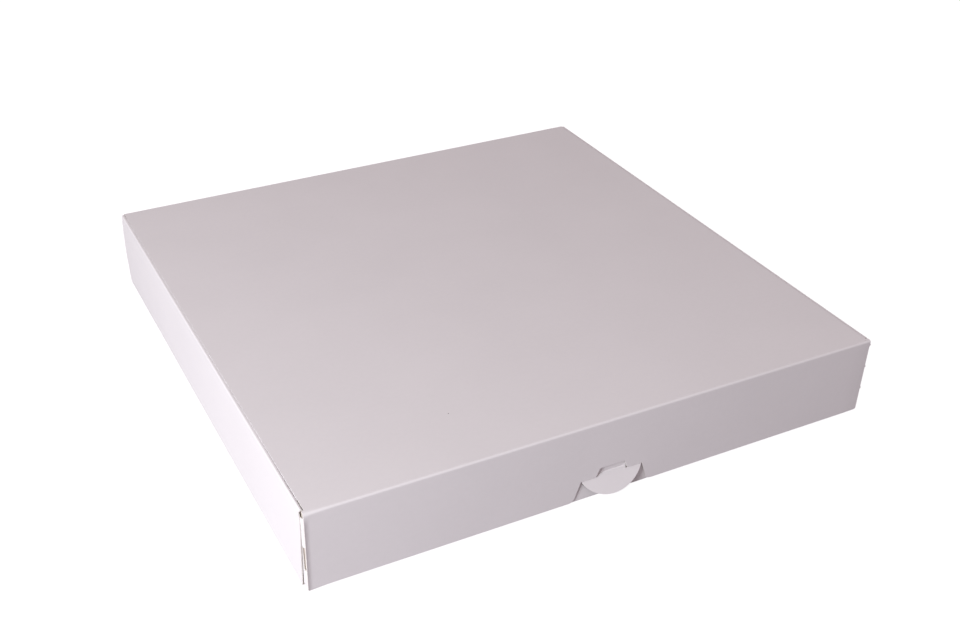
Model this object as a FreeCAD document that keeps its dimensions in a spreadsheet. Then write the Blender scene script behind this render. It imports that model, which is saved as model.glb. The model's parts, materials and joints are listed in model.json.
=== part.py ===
import FreeCAD, Part
import math
import os
import Sketcher

# A flat cake box, folded from one die-cut sheet of paperboard and held together without glue.
# It is closed: the lid lies flush between two roll-over side walls, and its front flap hangs
# outside the front wall. Millimetres, +Z up, +Y towards the hinge, origin under the centre.
#
#   tray        base, front and back walls, roll-over side walls, corner ears and the lock tab
#   lid         top panel with a dust flap down each side
#   front_flap  flap on the lid's front edge, cut out around the lock tab

# ---------------------------------------------------------------- driving dimensions

SIZES = [
    ("box_width", 295.0, "outside, across the side walls"),
    ("box_depth", 300.0, "outside, front flap to back wall"),
    ("box_height", 42.5, "outside"),
    ("board", 0.45, "thickness of the paperboard"),
    ("crease_radius", 0.2, "inside radius of a folded crease"),
    ("layer_gap", 0.12, "play between two layers of board that are folded together"),
    ("lid_gap", 0.2, "play between the lid and the tray"),
    ("flap_gap", 0.3, "play between the front flap and the front wall"),
    ("hinge_gap", 0.15, "play between a hinge crease and the board next to it"),
    ("wall_setback_top", 0.9, "side wall's end behind the box's end, at the top"),
    ("wall_setback_bottom", 3.5, "side wall's end behind the box's end, at the bottom"),
    ("ear_length", 58.0, "corner ear, from the front or back face"),
    ("ear_drop", 4.0, "ear's top below the side wall's top"),
    ("ear_lift", 0.9, "ear's lower edge above the ground"),
    ("ear_taper", 12.0, "corner cut off the free end of an ear"),
    ("ear_slot_foot", 11.5, "start of the slot in an ear's crease, above the ground"),
    ("ear_slot_height", 13.0, "height of the slot in an ear's crease"),
    ("base_tab_width", 30.0, "locking tab under the inner wall"),
    ("base_tab_spacing", 150.0, "between the two locking tabs of one wall"),
    ("base_tab_lift", 0.1, "locking tab's tip above the ground"),
    ("slot_play", 0.6, "base slot longer than its tab, at each end"),
    ("dust_flap_depth", 28.0, "lid's dust flap, below the top"),
    ("dust_flap_inset", 8.0, "dust flap's end from the box's end"),
    ("dust_flap_taper", 10.0, "corner cut off a dust flap"),
    ("crease_height", 11.85, "lock tab's crease above the ground"),
    ("tab_tilt", 26.6, "lock tab's lean out of the wall, degrees"),
    ("tab_length", 11.3, "lock tab, crease to tip"),
    ("tab_neck_half", 7.0, "half the width of the lock tab's neck"),
    ("tab_neck_length", 1.7, "lock tab, crease to ears"),
    ("tab_head_half", 15.4, "half the width across the lock tab's ears"),
    ("flap_lift", 0.3, "front flap's lower edge above the ground"),
    ("flap_corner", 2.5, "radius of the front flap's lower corners"),
    ("cutout_head_gap", 1.3, "cut-out beside the lock tab's ears"),
    ("cutout_rise", 0.35, "cut-out above the lock tab's ears"),
    ("cutout_flare", 3.0, "cut-out's side, wider at the flap's lower edge"),
    ("cutout_corner", 2.6, "radius where the cut-out meets the lower edge"),
    ("notch_neck_gap", 1.4, "notch beside the lock tab's neck, at its foot"),
    ("notch_lean", 1.6, "notch's side, narrower at its top"),
    ("notch_height", 4.0, "notch above the cut-out"),
    ("notch_corner", 1.0, "radius of the notch's upper corners"),
]


class Length:
    """A length that carries both its number and the spreadsheet expression that drives it."""

    def __init__(self, value, text):
        self.value = value
        self.text = text

    def combine(self, other, value, sign, swap=False):
        text = other.text if isinstance(other, Length) else repr(float(other))
        first, second = (text, self.text) if swap else (self.text, text)
        return Length(value, f"({first} {sign} {second})")

    def __add__(self, other):
        return self.combine(other, self.value + number(other), "+")

    def __sub__(self, other):
        return self.combine(other, self.value - number(other), "-")

    def __rsub__(self, other):
        return self.combine(other, number(other) - self.value, "-", swap=True)

    def __mul__(self, factor):
        return self.combine(factor, self.value * number(factor), "*")

    def __truediv__(self, factor):
        return self.combine(factor, self.value / number(factor), "/")

    def __neg__(self):
        return self * -1.0

    __radd__ = __add__
    __rmul__ = __mul__


def number(length):
    return length.value if isinstance(length, Length) else float(length)


def sine(angle):
    return Length(math.sin(math.radians(angle.value)), f"sin({angle.text})")


def cosine(angle):
    return Length(math.cos(math.radians(angle.value)), f"cos({angle.text})")


def make_sheet(doc):
    sheet = doc.addObject("Spreadsheet::Sheet", "Sizes")
    for row, (alias, value, note) in enumerate(SIZES, start=1):
        sheet.set(f"A{row}", alias)
        sheet.set(f"B{row}", str(value))
        sheet.set(f"C{row}", note)
        sheet.setAlias(f"B{row}", alias)
    doc.recompute()
    return {alias: Length(value, f"Sizes.{alias}") for alias, value, note in SIZES}


doc = FreeCAD.newDocument("CakeBox")
size = make_sheet(doc)

# ---------------------------------------------------------------- lengths that follow from them

board = size["board"]
outer_radius = size["crease_radius"] + board
half_width = size["box_width"] / 2
half_depth = size["box_depth"] / 2
top = size["box_height"]

# Across the box: outer wall, ear and inner wall, each one board thick.
ear_face = half_width - board - size["layer_gap"]
wall_stack = board * 3 + size["layer_gap"] * 2
inner_face = half_width - wall_stack
lid_edge = inner_face - size["lid_gap"]
end_panel_half = ear_face - outer_radius

# Along the box: the front wall stands behind the front flap, the back wall is the back face.
front_wall_face = board + size["flap_gap"] - half_depth
inner_wall_end = half_depth - board * 2 - size["flap_gap"] - size["layer_gap"]

# Both hinge creases lie in the middle of the board, at the lid's level.
hinge_radius = board / 2
hinge_level = top - hinge_radius
lid_underside = top - board
front_hinge = hinge_radius - half_depth
back_hinge = half_depth - hinge_radius

# ---------------------------------------------------------------- sketch and feature helpers


def origin_plane(body, role):
    return next(plane for plane in body.Origin.OriginFeatures if plane.Role == role)


def new_sketch(body, name, role, offset=None):
    """An empty sketch on one of the body's own planes, moved along its normal by a length."""
    sketch = body.newObject("Sketcher::SketchObject", name)
    sketch.AttachmentSupport = (origin_plane(body, role), "")
    sketch.MapMode = "FlatFace"
    if offset is not None:
        sketch.setExpression("AttachmentOffset.Base.z", offset.text)
    return sketch


def pin(sketch, piece, end, point):
    """Drive one end of a piece of an outline from the spreadsheet."""
    for kind, length in zip(("DistanceX", "DistanceY"), point):
        index = sketch.addConstraint(Sketcher.Constraint(kind, -1, 1, piece, end, number(length)))
        if isinstance(length, Length):
            sketch.setExpression(f"Constraints[{index}]", length.text)


def line_between(start, finish):
    return Part.LineSegment(FreeCAD.Vector(*map(number, start)), FreeCAD.Vector(*map(number, finish)))


def arc_between(start, finish, radius):
    """A short arc from start to finish; a positive radius turns left, a negative one right."""
    first = FreeCAD.Vector(*map(number, start))
    last = FreeCAD.Vector(*map(number, finish))
    reach = number(radius)
    chord = last - first
    across = FreeCAD.Vector(-chord.y, chord.x, 0).normalize()
    drop = max(reach ** 2 - (chord.Length / 2) ** 2, 0.0) ** 0.5
    side = 1 if reach > 0 else -1
    centre = (first + last) / 2 + across * drop * side
    middle = centre - across * abs(reach) * side
    return Part.Arc(first, middle, last)


def outline(sketch, *steps):
    """A closed outline: corner points, with an arc's radius between the two points it joins."""
    points = [step for step in steps if isinstance(step, tuple)]
    radii = {}
    for index, step in enumerate(steps):
        if not isinstance(step, tuple):
            radii[sum(isinstance(earlier, tuple) for earlier in steps[:index]) - 1] = step
    pieces = []
    for index, start in enumerate(points):
        finish = points[(index + 1) % len(points)]
        if index in radii:
            pieces.append(sketch.addGeometry(arc_between(start, finish, radii[index])))
        else:
            pieces.append(sketch.addGeometry(line_between(start, finish)))
    ends = [piece_ends(sketch, piece, points[index]) for index, piece in enumerate(pieces)]
    for index, piece in enumerate(pieces):
        following = (index + 1) % len(pieces)
        sketch.addConstraint(Sketcher.Constraint(
            "Coincident", piece, ends[index][1], pieces[following], ends[following][0]))
        pin(sketch, piece, ends[index][0], points[index])
        if index in radii:
            bind_radius(sketch, piece, radii[index])


def piece_ends(sketch, piece, start):
    """Which end of a piece is its start: an arc is stored anticlockwise, whichever way it is drawn."""
    first = sketch.getPoint(piece, 1)
    at_start = (first - FreeCAD.Vector(*map(number, start))).Length < 1e-6
    return (1, 2) if at_start else (2, 1)


def bind_radius(sketch, piece, radius):
    index = sketch.addConstraint(Sketcher.Constraint("Radius", piece, abs(number(radius))))
    if isinstance(radius, Length):
        text = radius.text if radius.value > 0 else f"(-1 * {radius.text})"
        sketch.setExpression(f"Constraints[{index}]", text)


def rectangle(sketch, x_low, x_high, y_low, y_high):
    outline(sketch, (x_low, y_low), (x_high, y_low), (x_high, y_high), (x_low, y_high))


def pad(body, name, sketch, length, symmetric=False, backwards=False):
    """Thicken a sketch along its normal, or to both sides of it."""
    feature = body.newObject("PartDesign::Pad", name)
    feature.Profile = sketch
    feature.Reversed = backwards
    feature.SideType = "Symmetric" if symmetric else "One side"
    feature.setExpression("Length", length.text)
    doc.recompute()
    return feature


def pocket(body, name, sketch, length=None):
    """Cut against a sketch's normal to a depth, or both ways through all that is made so far."""
    before = body.Shape.Volume
    feature = body.newObject("PartDesign::Pocket", name)
    feature.Profile = sketch
    if length is None:
        feature.Type = "ThroughAll"
        feature.SideType = "Symmetric"
    else:
        feature.setExpression("Length", length.text)
    doc.recompute()
    if body.Shape.Volume >= before:
        raise ValueError(f"{name} cuts nothing")
    return feature


def round_corners(body, name, base, places, radius):
    """Round the short edges of a panel that run through its board at the given (x, z) places."""
    edges = []
    for index, edge in enumerate(base.Shape.Edges, start=1):
        first, last = edge.Vertexes[0].Point, edge.Vertexes[-1].Point
        along_board = abs(first.x - last.x) < 1e-6 and abs(first.z - last.z) < 1e-6
        if along_board and any(abs(first.x - number(x)) < 1e-4 and abs(first.z - number(z)) < 1e-4
                               for x, z in places):
            edges.append(f"Edge{index}")
    if len(edges) != len(places):
        raise ValueError(f"{name} found {len(edges)} of {len(places)} corners")
    feature = body.newObject("PartDesign::Fillet", name)
    feature.Base = (base, edges)
    feature.setExpression("Radius", radius.text)
    doc.recompute()
    return feature


def mirrored(steps, side):
    """An outline drawn for the positive side (1), or turned over to the negative side (-1)."""
    if side == 1:
        return steps
    return [(-step[0], step[1]) if isinstance(step, tuple) else -step for step in steps]


def new_body(name, label):
    body = doc.addObject("PartDesign::Body", name)
    body.Label = label
    return body

# ---------------------------------------------------------------- the tray

SIDES = (1, -1)
CLEAR = 1.0  # how far a cutting outline stands past the board it cuts
front_wall_top = lid_underside - size["lid_gap"]
back_wall_top = lid_underside - size["hinge_gap"]
inner_wall_foot = board + size["layer_gap"]
ear_top = top - size["ear_drop"]
END_WALLS = ((front_wall_face, 1), (half_depth, -1))  # outer face, and the way to the inside


def side_walls(body):
    """Both roll-over walls: up from the base, over the top and down again inside."""
    sketch = new_sketch(body, "SideWallSection", "XZ_Plane")
    bend = size["crease_radius"]
    shoulder = top - outer_radius
    outer_crease = half_width - outer_radius
    inner_crease = inner_face + outer_radius
    steps = [
        (end_panel_half, 0.0),
        (outer_crease, 0.0), outer_radius,
        (half_width, outer_radius),
        (half_width, shoulder), outer_radius,
        (outer_crease, top),
        (inner_crease, top), outer_radius,
        (inner_face, shoulder),
        (inner_face, inner_wall_foot),
        (inner_face + board, inner_wall_foot),
        (inner_face + board, shoulder), -bend,
        (inner_crease, lid_underside),
        (outer_crease, lid_underside), -bend,
        (half_width - board, shoulder),
        (half_width - board, outer_radius), -bend,
        (outer_crease, board),
        (end_panel_half, board),
    ]
    for side in SIDES:
        outline(sketch, *mirrored(steps, side))
    pad(body, "SideWalls", sketch, size["box_depth"] - size["wall_setback_top"] * 2, symmetric=True)


def side_wall_ends(body):
    """The walls' ends lean back towards the ground, and the inner layer stops short of the end walls."""
    sketch = new_sketch(body, "WallEndOutline", "YZ_Plane")
    upper = half_depth - size["wall_setback_top"]
    lower = half_depth - size["wall_setback_bottom"]
    past = half_depth + CLEAR
    steps = [(lower, 0.0), (lower, -CLEAR), (past, -CLEAR), (past, top + CLEAR), (upper, top + CLEAR),
             (upper, top)]
    for side in SIDES:
        outline(sketch, *mirrored(steps, side))
    pocket(body, "WallEnds", sketch)

    sketch = new_sketch(body, "InnerEndOutline", "XY_Plane")
    inside = inner_face - CLEAR
    outside = ear_face + size["layer_gap"] / 2
    for side in SIDES:
        for end in SIDES:
            rectangle(sketch, inside * side, outside * side, inner_wall_end * end, past * end)
    pocket(body, "InnerEnds", sketch)


def base_and_end_walls(body):
    """One strip: up the front wall, along the base and up the back wall."""
    sketch = new_sketch(body, "EndWallSection", "YZ_Plane")
    bend = size["crease_radius"]
    outline(
        sketch,
        (front_wall_face + outer_radius, 0.0),
        (half_depth - outer_radius, 0.0), outer_radius,
        (half_depth, outer_radius),
        (half_depth, back_wall_top),
        (half_depth - board, back_wall_top),
        (half_depth - board, outer_radius), -bend,
        (half_depth - outer_radius, board),
        (front_wall_face + outer_radius, board), -bend,
        (front_wall_face + board, outer_radius),
        (front_wall_face + board, front_wall_top),
        (front_wall_face, front_wall_top),
        (front_wall_face, outer_radius), outer_radius,
    )
    pad(body, "BaseAndEndWalls", sketch, end_panel_half * 2, symmetric=True)


def corner_ears(body):
    """Four ears, each turned round an upright crease into the hollow of a side wall."""
    creases = new_sketch(body, "EarCreaseSection", "XY_Plane", size["ear_lift"])
    for side in SIDES:
        for face, inward in END_WALLS:
            turned = face + outer_radius * inward
            outline(
                creases,
                (end_panel_half * side, face), outer_radius * (side * inward),
                (ear_face * side, turned),
                ((ear_face - board) * side, turned), size["crease_radius"] * (-side * inward),
                (end_panel_half * side, face + board * inward),
            )
    pad(body, "EarCreases", creases, ear_top - size["ear_lift"])

    for side, name in ((1, "Right"), (-1, "Left")):
        hollow = ear_face - board if side == 1 else -ear_face
        ears = new_sketch(body, f"{name}EarOutline", "YZ_Plane", hollow)
        taper = size["ear_taper"]
        for face, inward in END_WALLS:
            root = face + outer_radius * inward
            tip = face + size["ear_length"] * inward
            outline(
                ears,
                (root, size["ear_lift"]),
                (tip - taper * inward, size["ear_lift"]),
                (tip, size["ear_lift"] + taper),
                (tip, ear_top - taper),
                (tip - taper * inward, ear_top),
                (root, ear_top),
            )
        pad(body, f"{name}Ears", ears, board)


def ear_slots(body):
    """A slot along the middle of each ear's crease lets the stiff corner turn."""
    sketch = new_sketch(body, "EarSlotOutline", "XY_Plane", size["ear_slot_foot"] + size["ear_slot_height"])
    outside = ear_face + size["layer_gap"] / 2
    for side in SIDES:
        for face, inward in END_WALLS:
            rectangle(sketch, end_panel_half * side, outside * side,
                      face - size["layer_gap"] * inward, face + outer_radius * inward)
    pocket(body, "EarSlots", sketch, size["ear_slot_height"])


def tab_steps(crease):
    """Mushroom outline, hanging from its crease: a neck, two ears and a round head."""
    neck = size["tab_neck_half"]
    head = size["tab_head_half"]
    ears = crease - size["tab_neck_length"]
    depth = size["tab_length"] - size["tab_neck_length"]
    head_radius = (head * head + depth * depth) / (depth * 2)
    return [
        (neck, crease),
        (-neck, crease),
        (-neck, ears),
        (-head, ears), head_radius,
        (head, ears),
        (neck, ears),
    ]


def lock_tab(body):
    """The tab is cut out of the front wall and leans out of its hole on a crease across its neck."""
    crease = size["crease_height"]
    hole = new_sketch(body, "LockHoleOutline", "XZ_Plane", -front_wall_face)
    outline(hole, *tab_steps(crease))
    pocket(body, "LockHole", hole, board + size["lid_gap"])

    leaning = new_sketch(body, "LockTabOutline", "XZ_Plane", -(front_wall_face + board))
    leaning.setExpression("AttachmentOffset.Base.y", crease.text)
    lean = FreeCAD.Rotation(FreeCAD.Vector(-1, 0, 0), number(size["tab_tilt"]))
    leaning.AttachmentOffset = FreeCAD.Placement(leaning.AttachmentOffset.Base, lean)
    leaning.setExpression("AttachmentOffset.Rotation.Angle", size["tab_tilt"].text)
    outline(leaning, *tab_steps(Length(0.0, "0")))
    pad(body, "LockTab", leaning, board)


def base_tabs(body):
    """Tabs under the inner walls stand in slots along the base's edges and lock the walls down."""
    half_tab = size["base_tab_width"] / 2
    half_slot = half_tab + size["slot_play"]
    slots = new_sketch(body, "BaseSlotOutline", "XY_Plane", board)
    tabs = new_sketch(body, "BaseTabOutline", "XY_Plane", size["base_tab_lift"])
    for side in SIDES:
        for end in SIDES:
            middle = size["base_tab_spacing"] / 2 * end
            rectangle(slots, (inner_face - size["layer_gap"]) * side,
                      (inner_face + board + size["layer_gap"]) * side,
                      middle - half_slot, middle + half_slot)
            rectangle(tabs, inner_face * side, (inner_face + board) * side,
                      middle - half_tab, middle + half_tab)
    pocket(body, "BaseSlots", slots, board + size["layer_gap"])
    pad(body, "BaseTabs", tabs, inner_wall_foot + board - size["base_tab_lift"])


def make_tray():
    body = new_body("Tray", "tray")
    side_walls(body)
    side_wall_ends(body)
    base_and_end_walls(body)
    corner_ears(body)
    ear_slots(body)
    lock_tab(body)
    base_tabs(body)
    return body


# ---------------------------------------------------------------- the lid


def make_lid():
    """Top panel with a dust flap folded down inside the tray along each side."""
    body = new_body("Lid", "lid")
    section = new_sketch(body, "LidSection", "XZ_Plane")
    bend = size["crease_radius"]
    edge_crease = lid_edge - outer_radius
    shoulder = top - outer_radius
    flap_tip = top - size["dust_flap_depth"]
    outline(
        section,
        (-edge_crease, top), outer_radius,
        (-lid_edge, shoulder),
        (-lid_edge, flap_tip),
        (board - lid_edge, flap_tip),
        (board - lid_edge, shoulder), -bend,
        (-edge_crease, lid_underside),
        (edge_crease, lid_underside), -bend,
        (lid_edge - board, shoulder),
        (lid_edge - board, flap_tip),
        (lid_edge, flap_tip),
        (lid_edge, shoulder), outer_radius,
        (edge_crease, top),
    )
    front_end = -half_depth + board + size["hinge_gap"]
    section.setExpression("AttachmentOffset.Base.z", (-front_end).text)
    pad(body, "Panel", section, back_hinge - front_end, backwards=True)

    ends = new_sketch(body, "DustFlapEnds", "YZ_Plane")
    inset = half_depth - size["dust_flap_inset"]
    narrow = inset - size["dust_flap_taper"]
    past = half_depth + CLEAR
    steps = [(inset, lid_underside), (inset, shoulder), (narrow, flap_tip), (narrow, flap_tip - CLEAR),
             (past, flap_tip - CLEAR), (past, lid_underside)]
    for side in SIDES:
        outline(ends, *mirrored(steps, side))
    pocket(body, "DustFlapCorners", ends)

    hinge = new_sketch(body, "BackCreaseSection", "YZ_Plane")
    bead(hinge, back_hinge)
    pad(body, "BackCrease", hinge, edge_crease * 2, symmetric=True)
    return body


def bead(sketch, middle):
    """The rounded crease that a hinge turns on: a full round, one board thick."""
    centre = FreeCAD.Vector(number(middle), number(hinge_level), 0)
    circle = sketch.addGeometry(Part.Circle(centre, FreeCAD.Vector(0, 0, 1), number(hinge_radius)))
    pin(sketch, circle, 3, (middle, hinge_level))
    bind_radius(sketch, circle, hinge_radius)


# ---------------------------------------------------------------- the front flap


def make_front_flap():
    """Full-height flap with a cut-out round the lock tab's head and a notch above it for the neck."""
    body = new_body("FrontFlap", "front_flap")
    panel = new_sketch(body, "FlapOutline", "XZ_Plane", half_depth)
    foot = size["flap_lift"]
    tilt = size["tab_tilt"]
    ears = size["crease_height"] - size["tab_neck_length"] * cosine(tilt) + board * sine(tilt)
    shoulder = ears + size["cutout_rise"]
    apex = size["tab_head_half"] + size["cutout_head_gap"]
    mouth = apex + size["cutout_flare"]
    notch_foot = size["tab_neck_half"] + size["notch_neck_gap"]
    notch_top = notch_foot - size["notch_lean"]
    notch_level = shoulder + size["notch_height"]
    outline(
        panel,
        (-lid_edge, hinge_level),
        (-lid_edge, foot),
        (-mouth, foot),
        (-apex, shoulder),
        (-notch_foot, shoulder),
        (-notch_top, notch_level),
        (notch_top, notch_level),
        (notch_foot, shoulder),
        (apex, shoulder),
        (mouth, foot),
        (lid_edge, foot),
        (lid_edge, hinge_level),
    )
    plate = pad(body, "Panel", panel, board, backwards=True)
    hinge = new_sketch(body, "FrontCreaseSection", "YZ_Plane")
    bead(hinge, front_hinge)
    plate = pad(body, "FrontCrease", hinge, lid_edge * 2, symmetric=True)
    plate = round_corners(body, "LowerCorners", plate, [(-lid_edge, foot), (lid_edge, foot)],
                          size["flap_corner"])
    plate = round_corners(body, "MouthCorners", plate, [(-mouth, foot), (mouth, foot)],
                          size["cutout_corner"])
    round_corners(body, "NotchCorners", plate, [(-notch_top, notch_level), (notch_top, notch_level)],
                  size["notch_corner"])
    return body


# ---------------------------------------------------------------- build, check and write the sub-parts

sub_parts = [make_tray(), make_lid(), make_front_flap()]
doc.recompute()
for item in doc.Objects:
    if "Invalid" in item.State or "Error" in item.State:
        raise ValueError(f"{item.Name} failed: {item.State}")
for sub_part in sub_parts:
    shape = sub_part.Shape
    if shape.isNull() or not shape.isValid() or len(shape.Solids) != 1:
        raise ValueError(f"{sub_part.Label} is not one sound solid")

os.makedirs("parts", exist_ok=True)
for sub_part in sub_parts:
    sub_part.Shape.exportStep(f"parts/{sub_part.Label}.step")
    print(f"{sub_part.Label}: {sub_part.Shape.Volume:.0f} mm3, {len(sub_part.Shape.Faces)} faces")
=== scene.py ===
# %% [markdown]
# # A folding cake box, folded from its flat blank
#
# The real box leaves the factory as one flat sheet: white coated board, die-cut to its outline and
# pressed with crease lines. A baker folds it up without glue. This lesson does the same. Every piece
# of board is first drawn flat, then one Geometry Nodes tree folds it along its creases, and only then
# does it get the thickness of the board. So every edge shows what a real cut edge shows, and every
# fold is a true round bend and not a sharp line.

# %% Load the frame
import bpy
import json
import math
import numpy as np
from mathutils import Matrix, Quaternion, Vector
from mathutils.geometry import delaunay_2d_cdt


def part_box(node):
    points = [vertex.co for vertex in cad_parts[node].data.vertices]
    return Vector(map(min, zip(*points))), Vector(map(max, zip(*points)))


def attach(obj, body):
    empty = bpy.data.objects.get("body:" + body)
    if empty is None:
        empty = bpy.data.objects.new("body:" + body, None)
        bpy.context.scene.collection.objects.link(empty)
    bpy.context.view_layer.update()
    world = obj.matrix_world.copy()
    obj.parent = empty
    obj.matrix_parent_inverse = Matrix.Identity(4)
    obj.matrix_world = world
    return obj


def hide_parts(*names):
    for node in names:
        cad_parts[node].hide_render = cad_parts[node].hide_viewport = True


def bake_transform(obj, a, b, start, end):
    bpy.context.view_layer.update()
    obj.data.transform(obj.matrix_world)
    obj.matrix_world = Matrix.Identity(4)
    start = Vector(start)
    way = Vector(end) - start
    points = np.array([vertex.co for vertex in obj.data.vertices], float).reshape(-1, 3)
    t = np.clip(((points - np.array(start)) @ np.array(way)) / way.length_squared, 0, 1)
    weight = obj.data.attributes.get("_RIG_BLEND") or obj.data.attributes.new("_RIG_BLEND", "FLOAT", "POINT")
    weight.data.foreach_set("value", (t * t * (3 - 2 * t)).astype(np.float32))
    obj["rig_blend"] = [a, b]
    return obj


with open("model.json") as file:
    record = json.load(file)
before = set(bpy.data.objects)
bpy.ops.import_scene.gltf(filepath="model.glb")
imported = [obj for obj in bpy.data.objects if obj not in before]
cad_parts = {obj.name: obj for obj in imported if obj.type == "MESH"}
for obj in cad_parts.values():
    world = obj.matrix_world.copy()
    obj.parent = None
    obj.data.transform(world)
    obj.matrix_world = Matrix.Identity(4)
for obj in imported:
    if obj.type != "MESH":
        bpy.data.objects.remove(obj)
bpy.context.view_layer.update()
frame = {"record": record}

# %% [markdown]
# ## Sizes
#
# The outside sizes are read from the frame, so the board lands exactly where the solids are. The
# smaller ones are the die maker's: how round each crease is, how far the ears reach, where the lock
# tab hangs. All are in millimetres, because that is how a die is drawn. A box folded by hand is not
# quite square, and the sizes say by how much: the lid reaches two millimetres past the front wall, so
# the front flap hangs on a slant, and the side walls stand a little further apart at their feet.

# %% Sizes of the box
MM = 0.001

_, tray_high = (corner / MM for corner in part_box("tray"))
lid_low, lid_high = (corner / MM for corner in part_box("lid"))
flap_low, flap_high = (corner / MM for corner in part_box("front_flap"))

HALF_WIDTH = tray_high.x
HALF_DEPTH = tray_high.y
TOP = lid_high.z
BOARD = flap_high.y - flap_low.y
DUST_FLAP_FOOT = lid_low.z
FLAP_FOOT = flap_low.z
PLAY = 0.12                                      # between two layers folded together
WALL_FACE = HALF_DEPTH - BOARD - PLAY            # front wall, just behind the front flap
INNER_FACE = HALF_WIDTH - 3 * BOARD - 2 * PLAY   # inside face of a roll-over wall
EAR_FACE = HALF_WIDTH - BOARD + 0.05             # an ear presses into the side wall a little
LID_HALF = INNER_FACE - 0.05                     # the lid just touches the inner walls
LID_LEVEL, WALL_LEVEL = TOP + 0.09, TOP - 0.03   # the lid springs up a hair above the walls
LID_REACH = 2.1                                  # the lid reaches past the wall, so the flap leans
LEAN = math.atan(LID_REACH / (LID_LEVEL - FLAP_FOOT))
SIDE_SPREAD = 0.5                                # the side walls stand out this far at their feet
SIDE_LEAN = math.atan(SIDE_SPREAD / WALL_LEVEL)
print(f"box {2 * HALF_WIDTH:.1f} x {2 * HALF_DEPTH:.1f} x {TOP:.1f} mm in {BOARD:.2f} mm board")

# %% Radii of the creases, on the coated face
BASE_BEND = 0.40
ROLL_BEND = 0.78
INNER_BEND = 0.06
EAR_BEND = 1.35
DUST_BEND = 0.06
HINGE_BEND = 0.95
FRONT_BEND = 0.95
TAB_BEND = 0.45
QUARTER = math.pi / 2
print("roundest crease", EAR_BEND, "mm, tightest", DUST_BEND, "mm")

# %% [markdown]
# ## Where the creases lie on the flat sheet
#
# A bend uses less board than the sharp corner it stands for: a quarter turn of radius r uses
# (pi / 2) r, while the two legs of the sharp corner are 2 r. Each crease is given by its corner, the
# line where the two flat panels would meet, and each panel beyond a bend starts a little earlier on
# the flat sheet. The long strip of the box runs along V: front wall, base, back wall, lid, front flap.


# %% The long strip: corner of each crease on the flat sheet
def saved(radius, turn=QUARTER):
    """Board that a bend saves against a sharp corner."""
    return (2 * math.tan(turn / 2) - turn) * radius


FRONT_CORNER = WALL_FACE
BACK_CORNER = HALF_DEPTH
HINGE_CORNER = BACK_CORNER - saved(BASE_BEND) + LID_LEVEL
LID_CORNER = HINGE_CORNER - saved(HINGE_BEND) + 2 * HALF_DEPTH + LID_REACH


def on_front_wall(z):
    return -(FRONT_CORNER - saved(BASE_BEND) + z)


def on_back_wall(z):
    return BACK_CORNER - saved(BASE_BEND) + z


def on_lid(y):
    return HINGE_CORNER - saved(HINGE_BEND) + HALF_DEPTH - y


def on_flap(z):
    return LID_CORNER - saved(FRONT_BEND, QUARTER + LEAN) + (LID_LEVEL - z) / math.cos(LEAN)


# %% Across the box: side wall, roll-over strip, inner wall, ear and dust flap
SIDE_CORNER = HALF_WIDTH + SIDE_SPREAD
ROLL_CORNER = SIDE_CORNER - saved(BASE_BEND, QUARTER + SIDE_LEAN) + WALL_LEVEL / math.cos(SIDE_LEAN)
INNER_CORNER = ROLL_CORNER - saved(ROLL_BEND) + HALF_WIDTH - INNER_FACE
EAR_CORNER = EAR_FACE
DUST_CORNER = LID_HALF


def on_side_wall(z):
    return SIDE_CORNER - saved(BASE_BEND, QUARTER + SIDE_LEAN) + z


def on_inner_wall(z):
    return INNER_CORNER - saved(INNER_BEND, QUARTER - SIDE_LEAN) + WALL_LEVEL - z


def on_ear(reach):
    """Across the sheet, for a distance from the front or back face of the box."""
    return EAR_CORNER - saved(EAR_BEND) + reach


def on_dust_flap(z):
    return DUST_CORNER - saved(DUST_BEND) + LID_LEVEL - z


INNER_FOOT = BOARD + PLAY
print(f"flat sheet: {2 * on_inner_wall(INNER_FOOT):.0f} mm across, "
      f"{on_flap(FLAP_FOOT) - on_front_wall(TOP):.0f} mm long")

# %% [markdown]
# ## Camera
#
# A product shot from the front left and above. The lens is a plain 49 mm one on a full-frame sensor,
# and the camera stands about 70 cm away.

# %% Camera
CAMERA_AZIMUTH = math.radians(-26.886)
CAMERA_ELEVATION = math.radians(31.180)
CAMERA_ROLL = math.radians(0.115)
CAMERA_PLACE = Vector((-267.56, -546.60, 379.70)) * MM
LENS = 48.77

camera_data = bpy.data.cameras.new("camera")
camera = bpy.data.objects.new("camera", camera_data)
bpy.context.scene.collection.objects.link(camera)
bpy.context.scene.camera = camera
backwards = Vector((
    math.sin(CAMERA_AZIMUTH) * math.cos(CAMERA_ELEVATION),
    -math.cos(CAMERA_AZIMUTH) * math.cos(CAMERA_ELEVATION),
    math.sin(CAMERA_ELEVATION)))
camera.location = CAMERA_PLACE
camera.rotation_mode = "QUATERNION"
level = (-backwards).to_track_quat("-Z", "Y")
camera.rotation_quaternion = level @ Quaternion((0, 0, 1), CAMERA_ROLL)
camera_data.lens = LENS
camera_data.sensor_width = 36.0
camera_data.clip_start = 0.01
print("camera", [round(v, 3) for v in camera.location])

# %% [markdown]
# ## Floor, background and light
#
# The box stands in a white studio. Two things make the light: one soft lamp, low on the left and a
# little in front, and a weak even fill from all round. The lamp makes the left wall the brightest face
# and rakes across the lid, which is why the lid fades from front left to back right. The fill is
# faintly warm, as light is that has been thrown about between pale walls. The levels are set so that
# no face of the box clips to white. The white page is not made with light: it is only what the camera
# and mirror rays are shown of the floor and the world.

# %% [markdown]
# ### Small helpers for node trees
#
# Materials here are built node by node. These helpers keep that short: one starts an empty material,
# one adds a node with its settings, one feeds a node's sockets, and one adds a Math node.


# %% Node helpers
def new_material(name):
    material = bpy.data.materials.new(name)
    material.use_nodes = True
    nodes = material.node_tree.nodes
    nodes.clear()
    return material, nodes, material.node_tree.links


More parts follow.
